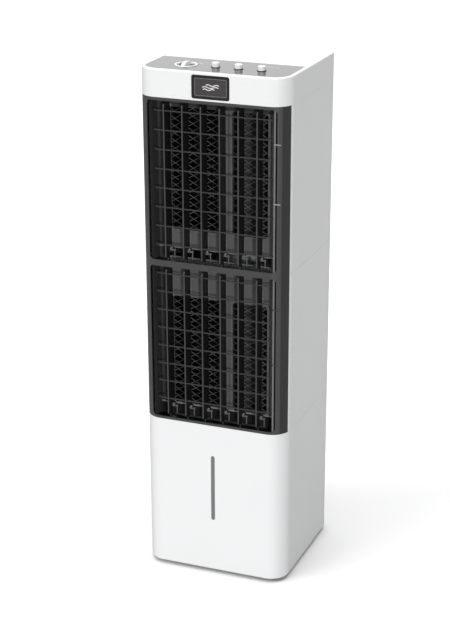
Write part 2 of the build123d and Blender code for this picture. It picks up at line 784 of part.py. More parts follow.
coupler_boss = 3.2
with BuildPart() as vane_coupler:
    with BuildSketch(Plane.XY.offset(coupler_z[0])):
        with Locations((fin_x(leader) + crank_reach / 2, vane_axis_y)):
            SlotCenterToCenter(crank_reach, arm_width)
        with Locations(fin_points[leader]):
            Circle(coupler_boss)
            Circle(spindle + 0.02, mode=Mode.SUBTRACT)
    extrude(amount=span(coupler_z))
    with Locations((fin_x(leader) + crank_reach, vane_axis_y, coupler_z[0])):
        Cylinder(crank_pin, pin_meeting - pin_gap / 2 - coupler_z[0],
                 align=(Align.CENTER, Align.CENTER, Align.MIN))

gear_radius = 14.0
gear_height = 18.0
with BuildPart() as swing_motor:
    with Locations((fin_x(leader), vane_axis_y, duct_high)):
        Cylinder(gear_radius, gear_height, align=(Align.CENTER, Align.CENTER, Align.MIN))
        Box(3 * gear_radius, 8, 2.4, align=(Align.CENTER, Align.CENTER, Align.MIN))
        Cylinder(spindle + pin_clearance, 26, mode=Mode.SUBTRACT)
    fillet(swing_motor.edges().group_by(Axis.Z)[-1], 1.5)
    with Locations((fin_x(leader), vane_axis_y + gear_radius, duct_high + gear_height / 2)):
        Box(12, 5, 7)

# ---------------------------------------------------------------- blowers
def scroll_radius(angle, extra):
    """Radius of the scroll at an angle in degrees, growing from its tongue to its left side."""
    return scroll_start + scroll_growth * (angle + 75) / 255 + extra


def scroll_point(angle, extra):
    radius = scroll_radius(angle, extra)
    return (blower_x + radius * cos(radians(angle)), blower_y + radius * sin(radians(angle)))


def scroll_profile(extra):
    """Plan of a scroll with its mouth, drawn extra outside the air space."""
    with BuildSketch() as profile:
        with BuildLine():
            spiral = Spline(*[scroll_point(angle, extra) for angle in range(-75, 181, 15)])
            mouth_corner = (scroll_point(180, extra)[0], duct_back)
            tongue_corner = (mouth_left[1] + 2.5 + extra, duct_back)
            Line(spiral @ 1, mouth_corner)
            Line(mouth_corner, tongue_corner)
            Line(tongue_corner, spiral @ 0)
        make_face()
    return profile.sketch


def make_scroll(z_low, z_high):
    """Blower casing with a round inlet in its floor and roof and its mouth to the front."""
    with BuildPart() as scroll:
        with BuildSketch(Plane.XY.offset(z_low - scroll_sheet)):
            add(scroll_profile(scroll_sheet))
        extrude(amount=z_high - z_low + 2 * scroll_sheet)
        with BuildSketch(Plane.XY.offset(z_low)):
            add(scroll_profile(0))
        extrude(amount=z_high - z_low, mode=Mode.SUBTRACT)
        with Locations((blower_x, blower_y, (z_low + z_high) / 2)):
            Cylinder(inlet_radius, z_high - z_low + 20, mode=Mode.SUBTRACT)
    return scroll


def make_wheel(z_low, z_high):
    """Double-inlet blower wheel: blades between two rings, on a middle disc with a hub."""
    middle = (z_low + z_high) / 2
    centre = (blower_x, blower_y)
    with BuildPart() as wheel:
        with BuildSketch(Plane.XY.offset(z_low)):
            with Locations(centre):
                with PolarLocations((wheel_radius + wheel_inner) / 2, blade_count):
                    Rectangle(15, 1.4, rotation=38)
        extrude(amount=z_high - z_low)
        for ring_z in (z_low, z_high - 3):
            with BuildSketch(Plane.XY.offset(ring_z)):
                with Locations(centre):
                    Circle(wheel_radius)
                    Circle(wheel_inner + 1, mode=Mode.SUBTRACT)
            extrude(amount=3)
        with BuildSketch(Plane.XY.offset(middle - 1.5)):
            with Locations(centre):
                Circle(wheel_radius)
        extrude(amount=3)
        with BuildSketch(Plane.XY.offset(middle - 12)):
            with Locations(centre):
                Circle(11)
        extrude(amount=24)
        with Locations((blower_x, blower_y, middle)):
            Cylinder(shaft_radius, 40, mode=Mode.SUBTRACT)
    return wheel


mouth_step = 3.0
lower_scroll_z = (lower_mouth[0] - mouth_step, lower_mouth[1] + mouth_step)
upper_scroll_z = (upper_mouth[0] - mouth_step, upper_mouth[1] + mouth_step)
wheel_gap = 14.0
lower_scroll = make_scroll(*lower_scroll_z)
upper_scroll = make_scroll(*upper_scroll_z)
lower_wheel = make_wheel(lower_scroll_z[0] + wheel_gap, lower_scroll_z[1] - wheel_gap)
upper_wheel = make_wheel(upper_scroll_z[0] + wheel_gap, upper_scroll_z[1] - wheel_gap)

with BuildPart() as blower_shaft:
    shaft_low = (lower_scroll_z[0] + lower_scroll_z[1]) / 2 - 16
    shaft_high = (upper_scroll_z[0] + upper_scroll_z[1]) / 2 + 16
    with Locations((blower_x, blower_y, shaft_low)):
        Cylinder(shaft_radius, shaft_high - shaft_low, align=(Align.CENTER, Align.CENTER, Align.MIN))
    chamfer(blower_shaft.edges().filter_by(GeomType.CIRCLE), 0.6)

motor_holes = 4
motor_screw_circle = motor_radius + 8
with BuildPart() as blower_motor:
    with Locations((blower_x, blower_y, (motor_z[0] + motor_z[1]) / 2)):
        Cylinder(motor_radius, motor_z[1] - motor_z[0] - 16)
        Cylinder(motor_radius - 8, motor_z[1] - motor_z[0])
        Cylinder(12, motor_z[1] - motor_z[0] + 10)
        Cylinder(shaft_radius + 0.06, 120, mode=Mode.SUBTRACT)
        with PolarLocations(motor_radius - 4, 20):
            Box(3, 2, motor_z[1] - motor_z[0] - 24, mode=Mode.SUBTRACT)
    with Locations((blower_x, blower_y, bracket_z + bracket_thickness)):
        with PolarLocations(motor_screw_circle - 3, motor_holes, start_angle=45):
            Box(24, 12, 3, align=(Align.CENTER, Align.CENTER, Align.MIN))
        Cylinder(motor_radius - 6, 3, align=(Align.CENTER, Align.CENTER, Align.MIN))
        Cylinder(shaft_radius + 0.06, 120, mode=Mode.SUBTRACT)
        with PolarLocations(motor_screw_circle, motor_holes, start_angle=45):
            Cylinder(2.2, 20, mode=Mode.SUBTRACT)

with BuildPart() as motor_bracket:
    bracket_half = half_width - wall - 3
    with BuildSketch(Plane.XY.offset(bracket_z)):
        with Locations((0, -8)):
            RectangleRounded(2 * bracket_half, 190, 12)
        with Locations((blower_x, blower_y)):
            Circle(motor_radius + 0.5, mode=Mode.SUBTRACT)
            with PolarLocations(motor_screw_circle, motor_holes, start_angle=45):
                Circle(1.8, mode=Mode.SUBTRACT)
        with Locations((pump_x, pump_y)):
            Circle(hose_hole + 3, mode=Mode.SUBTRACT)
        with GridLocations(232, 130, 2, 2):
            RectangleRounded(30, 44, 6, mode=Mode.SUBTRACT)
    extrude(amount=bracket_thickness)
    for side in (-1, 1):
        with Locations((side * (bracket_half - 1.2), -8, bracket_z)):
            Box(2.4, 150, 18, align=(Align.CENTER, Align.CENTER, Align.MAX))

with BuildPart() as terminal_box:
    with Locations((-88, 68, bracket_z + bracket_thickness)):
        Box(70, 22, 50, align=(Align.CENTER, Align.CENTER, Align.MIN))
    fillet(terminal_box.edges().filter_by(Axis.Z), 3)
    with Locations((-98, 68, bracket_z + bracket_thickness + 50)):
        Cylinder(9, 14, align=(Align.CENTER, Align.CENTER, Align.MIN))

# ---------------------------------------------------------------- intake door, filter and pad
door_y = (back_y - 3.4, back_y)
slot_pitch = 12.0
slot_height = 5.5
slot_rows = 47
slot_width = 92.0

with BuildPart() as rear_grille:
    door_mid = (intake_low + intake_high) / 2
    door_width = 2 * (intake_half - door_gap)
    door_height = intake_high - intake_low - 2 * door_gap
    with BuildSketch(Plane.XZ.offset(-door_y[0])):
        with Locations((0, door_mid)):
            RectangleRounded(door_width, door_height, 4)
            with GridLocations(slot_width + 8, slot_pitch, 2, slot_rows):
                SlotOverall(slot_width, slot_height, mode=Mode.SUBTRACT)
    extrude(amount=-(door_y[1] - door_y[0]))
    with BuildSketch(Plane.XZ.offset(-door_y[0])):
        with Locations((0, door_mid)):
            Rectangle(door_width - 2, door_height - 2)
            Rectangle(door_width - 6, door_height - 6, mode=Mode.SUBTRACT)
    extrude(amount=6)

filter_y = (136.6, 139.4)
with BuildPart() as dust_filter:
    with BuildSketch(Plane.XZ.offset(-filter_y[1])):
        with Locations((0, door_mid)):
            Rectangle(2 * pad_half + 6, pad_z[1] - pad_z[0] + 8)
            with GridLocations(48, 48, 4, 12):
                Rectangle(44, 44, mode=Mode.SUBTRACT)
    extrude(amount=filter_y[1] - filter_y[0])
    with BuildSketch(Plane.XZ.offset(-(filter_y[0] + 1.8))):
        with Locations((0, door_mid)):
            Rectangle(2 * pad_half + 4, pad_z[1] - pad_z[0] + 6)
    extrude(amount=0.7)

pad_mid_y = (pad_y[0] + pad_y[1]) / 2
with BuildPart() as pad_frame:
    frame_wide = 2 * (pad_half + 0.2 + pad_frame_wall)
    frame_tall = pad_z[1] - pad_z[0] + 0.4 + 2 * pad_frame_wall
    with BuildSketch(Plane.XZ.offset(-(pad_y[1] + 2))):
        with Locations((0, (pad_z[0] + pad_z[1]) / 2)):
            Rectangle(frame_wide, frame_tall)
            Rectangle(frame_wide - 2 * pad_frame_wall, frame_tall - 2 * pad_frame_wall,
                      mode=Mode.SUBTRACT)
    extrude(amount=pad_y[1] - pad_y[0] + 4.4)
    with BuildSketch(Plane.XZ.offset(-(pad_y[0] - 0.2))):
        with Locations((0, (pad_z[0] + pad_z[1]) / 2)):
            with GridLocations(0, 96, 1, 5):
                Rectangle(frame_wide - 1, 4)
            Rectangle(4, frame_tall - 1)
    extrude(amount=2.2)
    with Locations((0, pad_mid_y, pad_z[1])):
        with GridLocations(15, 0, 12, 1):
            Cylinder(3.5, 12, mode=Mode.SUBTRACT)
    with Locations((0, pad_mid_y, pad_z[0])):
        with GridLocations(38, 0, 4, 1):
            Box(24, 8, 12, mode=Mode.SUBTRACT)

with BuildPart() as cooling_pad:
    with Locations((0, pad_mid_y, pad_z[0])):
        Box(2 * pad_half, pad_y[1] - pad_y[0], pad_z[1] - pad_z[0],
            align=(Align.CENTER, Align.CENTER, Align.MIN))

tray_z = (926.5, 941.0)
tray_half = 94.0
with BuildPart() as water_distributor:
    with Locations((0, pad_mid_y, tray_z[0])):
        Box(2 * tray_half, 24, tray_z[1] - tray_z[0], align=(Align.CENTER, Align.CENTER, Align.MIN))
    with Locations((0, pad_mid_y, tray_z[0] + 2)):
        Box(2 * tray_half - 4, 20, tray_z[1], align=(Align.CENTER, Align.CENTER, Align.MIN),
            mode=Mode.SUBTRACT)
    with Locations((0, pad_mid_y, tray_z[0])):
        with GridLocations(15, 0, 12, 1):
            Cylinder(1.5, 10, mode=Mode.SUBTRACT)
    with Locations(Location((pump_x, pad_mid_y - 12, hose_top), (90, 0, 0))):
        Cylinder(hose_radius + 1.4, 5)
        Cylinder(hose_radius - 1.5, 20, mode=Mode.SUBTRACT)
    with Locations((tray_half - 3, pad_mid_y, tray_z[1]), (-tray_half + 3, pad_mid_y, tray_z[1])):
        Box(6, 24, cover_low - tray_z[1], align=(Align.CENTER, Align.CENTER, Align.MIN))

# ---------------------------------------------------------------- pump, hose and screws
with BuildPart() as pump:
    with Locations((pump_x, pump_y, pump_z[0])):
        Cylinder(pump_radius + 3, 10, align=(Align.CENTER, Align.CENTER, Align.MIN))
        with PolarLocations(pump_radius + 2, 20):
            Box(6, 2.4, 14, mode=Mode.SUBTRACT)
        Cylinder(pump_radius, pump_z[1] - pump_z[0], align=(Align.CENTER, Align.CENTER, Align.MIN))
    fillet(pump.edges().group_by(Axis.Z)[-1], 4)
    with Locations((pump_x, pump_y, pump_z[1] - 1)):
        Cylinder(hose_radius - 1.5, 13, align=(Align.CENTER, Align.CENTER, Align.MIN))
    with Locations((pump_x, pump_y + pump_radius - 1, pump_z[0] + 30)):
        Box(16, 4, lower_bottom - pump_z[0] - 30, align=(Align.CENTER, Align.CENTER, Align.MIN))
    with Locations((pump_x, pump_y + pump_radius - 1, lower_bottom)):
        Box(22, 10, 3, align=(Align.CENTER, Align.CENTER, Align.MAX))

hose_bend = 11.0
with BuildPart() as supply_hose:
    with BuildLine() as hose_path:
        rise_end = (pump_x, pump_y, hose_top - hose_bend)
        bend_end = (pump_x, pump_y + hose_bend, hose_top)
        rise = Line((pump_x, pump_y, pump_z[1]), rise_end)
        bend = TangentArc(rise_end, bend_end, tangent=(0, 0, 1))
        Line(bend_end, (pump_x, pad_mid_y - 14.5, hose_top))
    with BuildSketch(Plane.XY.offset(pump_z[1])):
        with Locations((pump_x, pump_y)):
            Circle(hose_radius)
            Circle(hose_radius - 1.5, mode=Mode.SUBTRACT)
    sweep(path=hose_path.line)

screw_radius = 1.5
with BuildPart() as casing_screws:
    with Locations(*at_height(post_spots, lower_bottom + deck_thickness)):
        Cylinder(3.6, 2.4, align=(Align.CENTER, Align.CENTER, Align.MIN))
        Cylinder(screw_radius, 13, align=(Align.CENTER, Align.CENTER, Align.MAX))
    with Locations((blower_x, blower_y, bracket_z + bracket_thickness + 3)):
        with PolarLocations(motor_screw_circle, motor_holes, start_angle=45):
            Cylinder(3.6, 2.4, align=(Align.CENTER, Align.CENTER, Align.MIN))
            Cylinder(screw_radius, 9, align=(Align.CENTER, Align.CENTER, Align.MAX))

# ---------------------------------------------------------------- labels and files
pieces = {
    "base_casing": base_casing, "feet": feet, "tank_window": tank_window,
    "water_tank": water_tank, "level_float": level_float, "drain_plug": drain_plug,
    "lower_housing": lower_housing, "upper_housing": upper_housing, "cord_gland": cord_gland,
    "top_cover": top_cover, "badge_frame": badge_frame, "badge_plate": badge_plate,
    "control_panel": control_panel, "switch_plate": switch_plate, "speed_switch": speed_switch,
    "speed_knob": speed_knob, "knob_dish": knob_dish, "cool_button": cool_button,
    "swing_button": swing_button, "timer_button": timer_button,
    "button_collars": button_collars, "push_switches": push_switches,
    "grille_frame": grille_frame, "outlet_duct": outlet_duct,
    "guard_fins": guard_fins, "guard_bars": guard_bars,
    "upper_lattice": upper_lattice, "lower_lattice": lower_lattice,
    "upper_link_rod": upper_link_rod, "lower_link_rod": lower_link_rod,
    "vane_coupler": vane_coupler, "swing_motor": swing_motor,
    "blower_motor": blower_motor, "motor_bracket": motor_bracket, "blower_shaft": blower_shaft,
    "upper_wheel": upper_wheel, "lower_wheel": lower_wheel,
    "upper_scroll": upper_scroll, "lower_scroll": lower_scroll, "terminal_box": terminal_box,
    "rear_grille": rear_grille, "dust_filter": dust_filter, "pad_frame": pad_frame,
    "cooling_pad": cooling_pad, "water_distributor": water_distributor,
    "pump": pump, "supply_hose": supply_hose, "casing_screws": casing_screws,
}
for number in range(fin_count):
    pieces[f"upper_vane_{number + 1}"] = upper_vanes[number]
    pieces[f"lower_vane_{number + 1}"] = lower_vanes[number]

os.makedirs("parts", exist_ok=True)
for node_name, piece in pieces.items():
    piece.part.label = node_name
    export_step(piece.part, f"parts/{node_name}.step")
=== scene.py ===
import json
import math

import bmesh
import bpy
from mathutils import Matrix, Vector


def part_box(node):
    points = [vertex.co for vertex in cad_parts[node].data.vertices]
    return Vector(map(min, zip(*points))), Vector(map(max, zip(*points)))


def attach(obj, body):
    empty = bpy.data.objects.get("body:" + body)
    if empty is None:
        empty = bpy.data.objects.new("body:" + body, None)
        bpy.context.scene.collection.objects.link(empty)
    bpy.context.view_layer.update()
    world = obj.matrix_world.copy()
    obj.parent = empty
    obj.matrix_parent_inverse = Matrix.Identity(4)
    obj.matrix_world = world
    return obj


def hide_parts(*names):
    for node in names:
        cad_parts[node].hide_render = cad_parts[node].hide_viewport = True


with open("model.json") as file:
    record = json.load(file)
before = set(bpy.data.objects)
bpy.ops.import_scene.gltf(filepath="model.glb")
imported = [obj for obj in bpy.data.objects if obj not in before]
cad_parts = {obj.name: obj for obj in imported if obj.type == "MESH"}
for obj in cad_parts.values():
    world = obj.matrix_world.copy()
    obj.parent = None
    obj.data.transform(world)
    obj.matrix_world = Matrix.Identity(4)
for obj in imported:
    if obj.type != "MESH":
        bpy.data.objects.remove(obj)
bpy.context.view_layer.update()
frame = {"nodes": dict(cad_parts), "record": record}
nodes = frame["nodes"]

# Looks of a household tower evaporative cooler. Everything is in metres, in the frame of the CAD
# model: the origin is the middle of the footprint on the floor and the air outlet faces -Y.

MM = 0.001


# ---------------------------------------------------------------- camera, floor and light
CAMERA_AZIMUTH = math.radians(21.19)
CAMERA_ELEVATION = math.radians(22.32)
CAMERA_DISTANCE = 3.294
CAMERA_TARGET = Vector((0.0, 0.0, 0.3597))
CAMERA_LENS = 96.35
CAMERA_SHIFT = (-0.0241, 0.1108)


def outward(azimuth, elevation):
    """Unit vector from the object towards a viewer at this azimuth and elevation."""
    flat = math.cos(elevation)
    return Vector((math.sin(azimuth) * flat, -math.cos(azimuth) * flat, math.sin(elevation)))


def make_camera():
    data = bpy.data.cameras.new("camera")
    data.lens = CAMERA_LENS
    data.sensor_width = 36.0
    data.shift_x, data.shift_y = CAMERA_SHIFT
    data.clip_end = 50.0
    camera = bpy.data.objects.new("camera", data)
    bpy.context.scene.collection.objects.link(camera)
    direction = outward(CAMERA_AZIMUTH, CAMERA_ELEVATION)
    camera.location = CAMERA_TARGET + direction * CAMERA_DISTANCE
    camera.rotation_euler = direction.to_track_quat("Z", "Y").to_euler()
    bpy.context.scene.camera = camera


def softbox(name, location, target, size, power):
    """A large rectangular lamp that the camera itself doesn't see."""
    data = bpy.data.lights.new(name, "AREA")
    data.shape = "RECTANGLE"
    data.size, data.size_y = size
    data.energy = power
    lamp = bpy.data.objects.new(name, data)
    bpy.context.scene.collection.objects.link(lamp)
    lamp.location = location
    away = Vector(location) - Vector(target)
    lamp.rotation_euler = away.to_track_quat("Z", "Y").to_euler()
    lamp.visible_camera = False


def sun(name, azimuth, elevation, softness, strength):
    """A distant lamp: angles in degrees, strength as the glow it gives a white card facing it."""
    data = bpy.data.lights.new(name, "SUN")
    data.angle = math.radians(softness)
    data.energy = strength * math.pi
    lamp = bpy.data.objects.new(name, data)
    bpy.context.scene.collection.objects.link(lamp)
    away = outward(math.radians(azimuth), math.radians(elevation))
    lamp.rotation_euler = away.to_track_quat("Z", "Y").to_euler()


AMBIENT = 0.28
BACKDROP = 1.0
FLOOR_BOUNCE = 0.33
FLOOR_HALF = 14.0


def make_world():
    """Even pale surroundings: bright behind the object, softer as a source of light."""
    world = bpy.data.worlds.new("studio")
    bpy.context.scene.world = world
    world.use_nodes = True
    tree = world.node_tree
    tree.nodes.clear()
    path = tree.nodes.new("ShaderNodeLightPath")
    seen = tree.nodes.new("ShaderNodeBackground")
    seen.inputs["Color"].default_value = (1, 1, 1, 1)
    seen.inputs["Strength"].default_value = BACKDROP
    fill = tree.nodes.new("ShaderNodeBackground")
    fill.inputs["Color"].default_value = (1, 1, 1, 1)
    fill.inputs["Strength"].default_value = AMBIENT
    mix = tree.nodes.new("ShaderNodeMixShader")
    out = tree.nodes.new("ShaderNodeOutputWorld")
    tree.links.new(path.outputs["Is Camera Ray"], mix.inputs["Fac"])
    tree.links.new(fill.outputs[0], mix.inputs[1])
    tree.links.new(seen.outputs[0], mix.inputs[2])
    tree.links.new(mix.outputs[0], out.inputs["Surface"])


def make_studio():
    make_world()
    sun("low_right_sun", 31, 9, 7, 0.44)
    sun("left_sun", -42, 30, 40, 0.42)
    sun("top_sun", 0, 88, 60, 0.62)
    softbox("back_softbox", (-1.4, 3.5, 2.55), (0, 0, 0.99), (4.5, 2.6), 46)


# ---------------------------------------------------------------- mesh helpers
def mesh_object(name, vertices, faces, smooth_angle=None):
    mesh = bpy.data.meshes.new(name)
    mesh.from_pydata([tuple(v) for v in vertices], [], faces)
    mesh.update()
    piece = bpy.data.objects.new(name, mesh)
    bpy.context.scene.collection.objects.link(piece)
    if smooth_angle is not None:
        shade_smooth(piece, smooth_angle)
    return piece


def prism_faces(start):
    """Faces of a four-sided prism whose two ends are the eight vertices from start on."""
    faces = []
    for side in range(4):
        first = start + side
        second = start + (side + 1) % 4
        faces.append((first, second, second + 4, first + 4))
    faces.append((start + 3, start + 2, start + 1, start))
    faces.append((start + 4, start + 5, start + 6, start + 7))
    return faces


def rounded_loop(centre, size, radius, steps=6):
    """Points of a closed rounded rectangle, the first one repeated at the end."""
    points = []
    for turn in range(4):
        side_x = 1 if turn in (0, 3) else -1
        side_y = 1 if turn in (0, 1) else -1
        corner = (centre[0] + side_x * (size[0] / 2 - radius), centre[1] + side_y * (size[1] / 2 - radius))
        for step in range(steps + 1):
            angle = math.radians(90) * (turn + step / steps)
            points.append((corner[0] + radius * math.cos(angle), corner[1] + radius * math.sin(angle)))
    return points + points[:1]


def strokes(name, lines, width, height, place):
    """Thin raised strokes along flat lines, such as print or inlay; place puts (u, v, lift) in space."""
    vertices = []
    faces = []
    for line in lines:
        start = len(vertices)
        closed = line[0] == line[-1]
        for index, (u, v) in enumerate(line):
            before = line[index - 1] if index else line[-2 if closed else 0]
            after = line[index + 1] if index + 1 < len(line) else line[1 if closed else -1]
            along = Vector((after[0] - before[0], after[1] - before[1])).normalized()
            across = Vector((-along.y, along.x)) * width / 2
            for side, lift in ((1, 0), (1, height), (-1, height), (-1, 0)):
                vertices.append(place(u + side * across.x, v + side * across.y, lift))
        for index in range(len(line) - 1):
            for side in range(4):
                first = start + 4 * index + side
                second = start + 4 * index + (side + 1) % 4
                faces.append((first, second, second + 4, first + 4))
        if not closed:
            last = start + 4 * (len(line) - 1)
            faces.append(tuple(start + side for side in (3, 2, 1, 0)))
            faces.append(tuple(last + side for side in range(4)))
    piece = mesh_object(name, vertices, faces)
    clean_normals(piece)
    return piece


def clean_normals(piece):
    bm = bmesh.new()
    bm.from_mesh(piece.data)
    bmesh.ops.remove_doubles(bm, verts=bm.verts, dist=0.000001)
    bmesh.ops.recalc_face_normals(bm, faces=bm.faces)
    bm.to_mesh(piece.data)
    bm.free()


def finish_piece(piece, material, body):
    piece.data.materials.append(material)
    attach(piece, body)


def shade_smooth(piece, angle):
    bm = bmesh.new()
    bm.from_mesh(piece.data)
    for face in bm.faces:
        face.smooth = True
    for edge in bm.edges:
        edge.smooth = edge.calc_face_angle(math.pi) < math.radians(angle)
    bm.to_mesh(piece.data)
    bm.free()


# ---------------------------------------------------------------- materials
def shader(name, color, roughness, **sockets):
    """A Principled material with its own colour; further sockets are set by name."""
    material = bpy.data.materials.new(name)
    material.use_nodes = True
    principled = material.node_tree.nodes["Principled BSDF"]
    principled.inputs["Base Color"].default_value = (*color, 1)
    principled.inputs["Roughness"].default_value = roughness
    for socket, value in sockets.items():
        principled.inputs[socket.replace("_", " ")].default_value = value
    return material


def object_noise(tree, scale, detail=3.0, stretch=(1, 1, 1)):
    """Noise in the object's own metres; stretch makes it finer along an axis."""
    coordinates = tree.nodes.new("ShaderNodeTexCoord")
    mapping = tree.nodes.new("ShaderNodeMapping")
    mapping.inputs["Scale"].default_value = stretch
    noise = tree.nodes.new("ShaderNodeTexNoise")
    noise.inputs["Scale"].default_value = scale
    noise.inputs["Detail"].default_value = detail
    tree.links.new(coordinates.outputs["Object"], mapping.inputs["Vector"])
    tree.links.new(mapping.outputs["Vector"], noise.inputs["Vector"])
    return noise.outputs["Fac"]


def vary_color(material, factor, low, high):
    """Base colour that drifts between two close tones."""
    tree = material.node_tree
    ramp = tree.nodes.new("ShaderNodeValToRGB")
    ramp.color_ramp.elements[0].position = 0.3
    ramp.color_ramp.elements[1].position = 0.7
    ramp.color_ramp.elements[0].color = (*low, 1)
    ramp.color_ramp.elements[1].color = (*high, 1)
    tree.links.new(factor, ramp.inputs["Fac"])
    tree.links.new(ramp.outputs["Color"], tree.nodes["Principled BSDF"].inputs["Base Color"])


def vary_roughness(material, factor, low, high):
    tree = material.node_tree
    spread = tree.nodes.new("ShaderNodeMapRange")
    spread.inputs["From Min"].default_value = 0.3
    spread.inputs["From Max"].default_value = 0.7
    spread.inputs["To Min"].default_value = low
    spread.inputs["To Max"].default_value = high
    tree.links.new(factor, spread.inputs["Value"])
    tree.links.new(spread.outputs["Result"], tree.nodes["Principled BSDF"].inputs["Roughness"])


def add_bump(material, factor, strength, depth):
    tree = material.node_tree
    bump = tree.nodes.new("ShaderNodeBump")
    bump.inputs["Strength"].default_value = strength
    bump.inputs["Distance"].default_value = depth
    tree.links.new(factor, bump.inputs["Height"])
    tree.links.new(bump.outputs["Normal"], tree.nodes["Principled BSDF"].inputs["Normal"])


def tone(color, factor):
    return tuple(channel * factor for channel in color)


def moulded_plastic(name, color, roughness, grain=1400.0, grain_depth=0.00004, drift=0.03, **sockets):
    """Injection moulded plastic: a fine spark-eroded grain, slow drift in tone and gloss."""
    material = shader(name, color, roughness, **sockets)
    tree = material.node_tree
    vary_color(material, object_noise(tree, 9.0), tone(color, 1 - drift), tone(color, 1 + drift))
    vary_roughness(material, object_noise(tree, 60.0), roughness * 0.88, roughness * 1.12)
    add_bump(material, object_noise(tree, grain, 2.0), 0.35, grain_depth)
    return material


def math_node(tree, operation, *values):
    """One Math node; each value is a number or the socket that feeds it."""
    node = tree.nodes.new("ShaderNodeMath")
    node.operation = operation
    for index, value in enumerate(values):
        if isinstance(value, (int, float)):
            node.inputs[index].default_value = value
        else:
            tree.links.new(value, node.inputs[index])
    return node.outputs[0]


def coordinate(tree, kind, axis):
    """One axis of the object's own position ("Object") or surface direction ("Normal")."""
    source = tree.nodes.new("ShaderNodeTexCoord")
    parts = tree.nodes.new("ShaderNodeSeparateXYZ")
    tree.links.new(source.outputs[kind], parts.inputs[0])
    return parts.outputs[axis]


def facing(axis, sign):
    """Mask of the surfaces that look along an axis, towards + or -."""
    return lambda tree: math_node(tree, "GREATER_THAN",
                                  math_node(tree, "MULTIPLY", coordinate(tree, "Normal", axis), sign), 0.75)


def within(axis, low, high):
    """Mask of what lies between two values along an axis, in metres."""
    return lambda tree: math_node(tree, "COMPARE", coordinate(tree, "Object", axis), (low + high) / 2,
                                  (high - low) / 2)


def both(first, second):
    return lambda tree: math_node(tree, "MULTIPLY", first(tree), second(tree))


def either(first, second):
    return lambda tree: math_node(tree, "MAXIMUM", first(tree), second(tree))


def layered_plastic(name, color, roughness, layers, **sockets):
    """Moulded plastic whose tone changes where a mask says, each layer over the one before."""
    material = moulded_plastic(name, color, roughness, **sockets)
    tree = material.node_tree
    base = tree.nodes["Principled BSDF"].inputs["Base Color"]
    shown = base.links[0].from_socket
    for mask, layer_color in layers:
        mix = tree.nodes.new("ShaderNodeMix")
        mix.data_type = "RGBA"
        tree.links.new(mask(tree), mix.inputs["Factor"])
        tree.links.new(shown, mix.inputs[6])
        drift = tree.nodes.new("ShaderNodeValToRGB")
        drift.color_ramp.elements[0].color = (*tone(layer_color, 0.93), 1)
        drift.color_ramp.elements[1].color = (*tone(layer_color, 1.07), 1)
        tree.links.new(object_noise(tree, 25.0), drift.inputs["Fac"])
        tree.links.new(drift.outputs["Color"], mix.inputs[7])
        shown = mix.outputs[2]
    tree.links.new(shown, base)
    return material


def grey(value):
    return (value, value, value * 1.01)


def brushed(name, color, roughness, stretch, **sockets):
    """Metal or plate with fine straight brushing along the axis that isn't stretched."""
    material = shader(name, color, roughness, **sockets)
    tree = material.node_tree
    lines = object_noise(tree, 60.0, 4.0, stretch)
    vary_color(material, lines, tone(color, 0.86), tone(color, 1.14))
    vary_roughness(material, lines, roughness * 0.8, roughness * 1.25)
    add_bump(material, lines, 0.2, 0.00003)
    return material


ROD_ABOVE_FLOOR = 7.5 * MM
RAIL_ABOVE_FLOOR = 29.5 * MM
RAIL_DEPTH = 3.4 * MM
DUCT_PLATE = 2.0 * MM
DUCT_SIDE = 3.5 * MM
PROUD_REACH = 12 * MM
MASK_MARGIN = 0.2 * MM
SHADED_SIDE = 19 * MM
SHADED_TOP = 19.5 * MM
LIP_SPAN = (19.5 * MM, 28.5 * MM)


def crank_space(section):
    """Heights from the floor of a section up to its bearing rail, where the cranks move."""
    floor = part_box(section + "_link_rod")[0][2] - ROD_ABOVE_FLOOR
    return floor, floor + RAIL_ABOVE_FLOOR


def make_duct_shade_and_light():
    """Outlet duct in black plastic with painted light and shade: faces that don't look forward are painted
    near black as shade, and the front plate is painted grey as if lit. The plate's left and top strips are
    painted darker as shade, and its part below the lower rail near black as shade. The right wall's front
    edge and the left wall's inner face are painted lit grey. The proud rail faces and the left lip are
    painted palest as highlights.
    """
    low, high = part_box("outlet_duct")
    plate = high[1] - DUCT_PLATE
    side = high[0] - DUCT_SIDE
    rail_low = crank_space("lower")[1]
    rail_high = crank_space("upper")[1]
    proud = both(within("Y", plate - PROUD_REACH, plate - 2 * MASK_MARGIN), within("X", -side, side))
    rails = either(within("Z", rail_high - MASK_MARGIN, rail_high + RAIL_DEPTH),
                   within("Z", rail_low - MASK_MARGIN, rail_low + RAIL_DEPTH))
    front = both(facing("Y", -1), within("X", -side, side))
    right_edge = both(facing("Y", -1), within("X", side, high[0] + MM))
    left_strip = within("X", -side, SHADED_SIDE - side)
    top_strip = within("Z", high[2] - SHADED_TOP, high[2])
    bottom_strip = within("Z", low[2], rail_low)
    left_lip = within("X", LIP_SPAN[0] - side, LIP_SPAN[1] - side)
    left_wall = both(facing("X", 1), within("X", low[0], -side))
    shaded = either(left_strip, top_strip)
    # Every grey layer here is painted light or painted shade on the same black plastic.
    return layered_plastic("outlet_duct_painted_shading", grey(0.010), 0.5,
                           [(front, grey(0.15)), (both(front, shaded), grey(0.055)),
                            (both(front, bottom_strip), grey(0.012)), (right_edge, grey(0.17)),
                            (left_wall, grey(0.045)), (both(front, both(proud, rails)), grey(0.28)),
                            (both(proud, left_lip), grey(0.25))], Specular_IOR_Level=0.25)


def make_vane_shade_and_light(section):
    """Vane: black blade with its sides painted near black as shade and its front-facing edge painted greyer
    as if lit, and the cranks below the bearing painted pale as a highlight.
    """
    cranks = within("Z", *crank_space(section))
    return layered_plastic(section + "_vane_painted_shading", grey(0.010), 0.45,
                           [(facing("Y", -1), grey(0.03)), (cranks, grey(0.17))],
                           Specular_IOR_Level=0.25)


